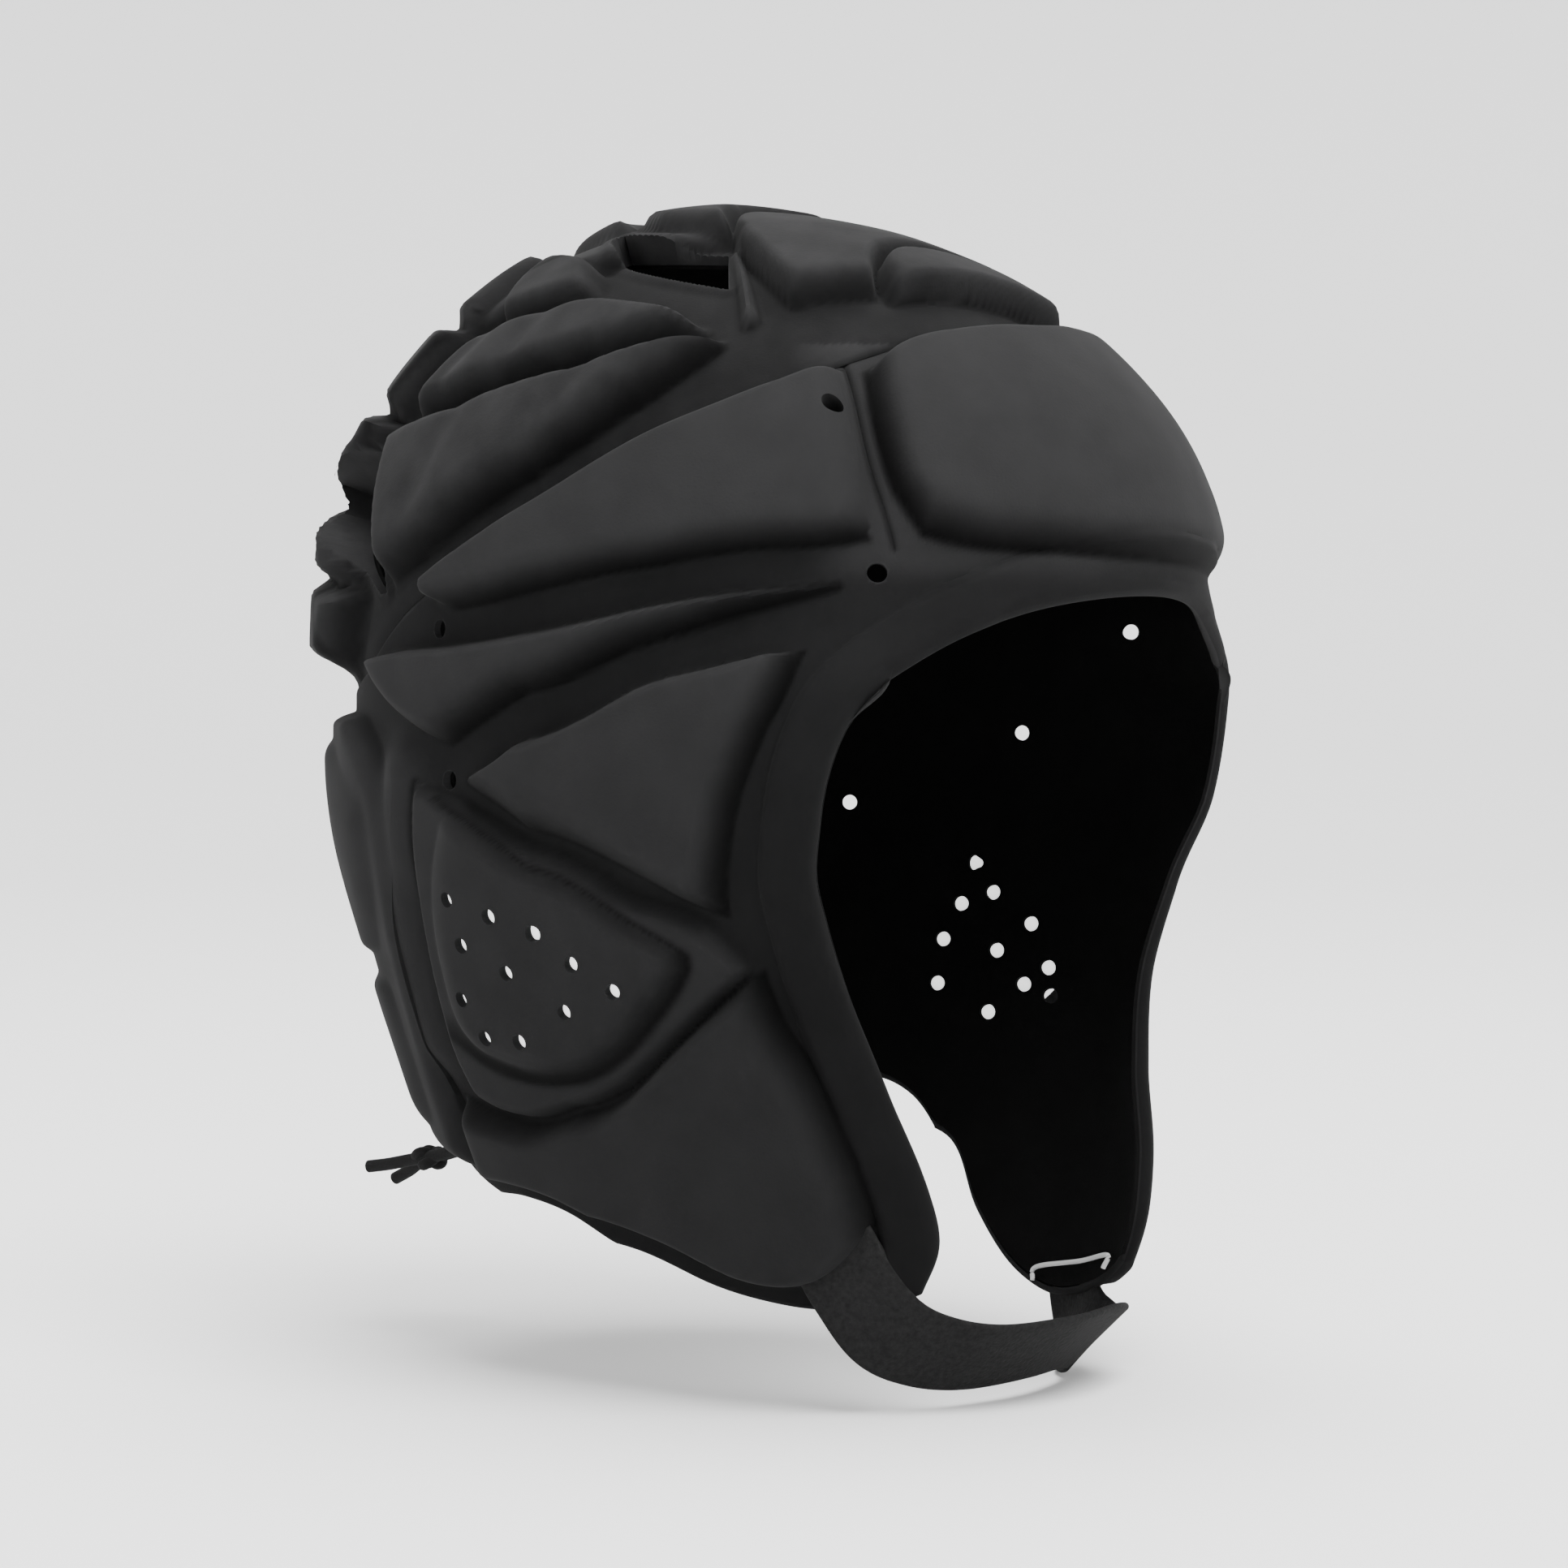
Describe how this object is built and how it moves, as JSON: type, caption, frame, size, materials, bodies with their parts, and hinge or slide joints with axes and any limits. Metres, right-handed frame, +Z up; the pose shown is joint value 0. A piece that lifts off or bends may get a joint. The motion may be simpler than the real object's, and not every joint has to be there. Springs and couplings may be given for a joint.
{
  "type": "padded sports headgear",
  "caption": "Soft padded headgear for contact sport: foam-padded shell open at the face and neck, with perforated ear pads, a chin strap and a nape drawcord.",
  "frame": {"origin": "where the inside of the crown sits on the top of the head", "axes": "+Z up, the wearer faces -Y, +X towards the left of the wearer"},
  "size_m": [0.1746, 0.2279, 0.2603],
  "materials": {
    "outer_fabric": "matt knitted cover over foam pads",
    "lining_fabric": "matt lining of the moulded panels",
    "crown_fabric": "matt knitted cover of the crown",
    "ear_fabric": "matt cover of the ear pads",
    "ear_mesh": "pale open mesh behind the ear holes",
    "webbing": "woven webbing",
    "thread": "pale stitching thread",
    "cord": "braided cord"
  },
  "bodies": {
    "root": {"cheek_pad_left": "outer_fabric", "cheek_pad_right": "outer_fabric", "chin_strap": "webbing", "crown_block_1": "crown_fabric", "crown_block_2": "crown_fabric", "crown_block_3": "crown_fabric", "crown_block_4": "crown_fabric", "crown_block_5": "crown_fabric", "crown_block_6": "crown_fabric", "crown_block_7": "crown_fabric", "crown_block_8": "crown_fabric", "crown_block_9": "crown_fabric", "crown_lining": "lining_fabric", "crown_pad_low_left": "crown_fabric", "crown_pad_low_right": "crown_fabric", "crown_pad_mid_left": "crown_fabric", "crown_pad_mid_right": "crown_fabric", "crown_pad_top_left": "crown_fabric", "crown_pad_top_right": "crown_fabric", "crown_rib_left": "crown_fabric", "crown_rib_right": "crown_fabric", "drawcord_end_left": "cord", "drawcord_end_right": "cord", "drawcord_knot": "cord", "drawcord_left": "cord", "drawcord_right": "cord", "ear_mesh_left": "ear_mesh", "ear_mesh_right": "ear_mesh", "ear_pad_left": "ear_fabric", "ear_pad_right": "ear_fabric", "forehead_pad": "outer_fabric", "forehead_panel": "lining_fabric", "jaw_pad_left": "outer_fabric", "jaw_pad_right": "outer_fabric", "nape_pad_lower": "outer_fabric", "nape_pad_upper": "outer_fabric", "nape_panel": "lining_fabric", "side_panel_left": "lining_fabric", "side_panel_right": "lining_fabric", "strap_stitch_left": "thread", "strap_stitch_right": "thread", "temple_pad_left": "outer_fabric", "temple_pad_right": "outer_fabric", "wing_pad_left": "outer_fabric", "wing_pad_right": "outer_fabric"}
  },
  "joints": []
}
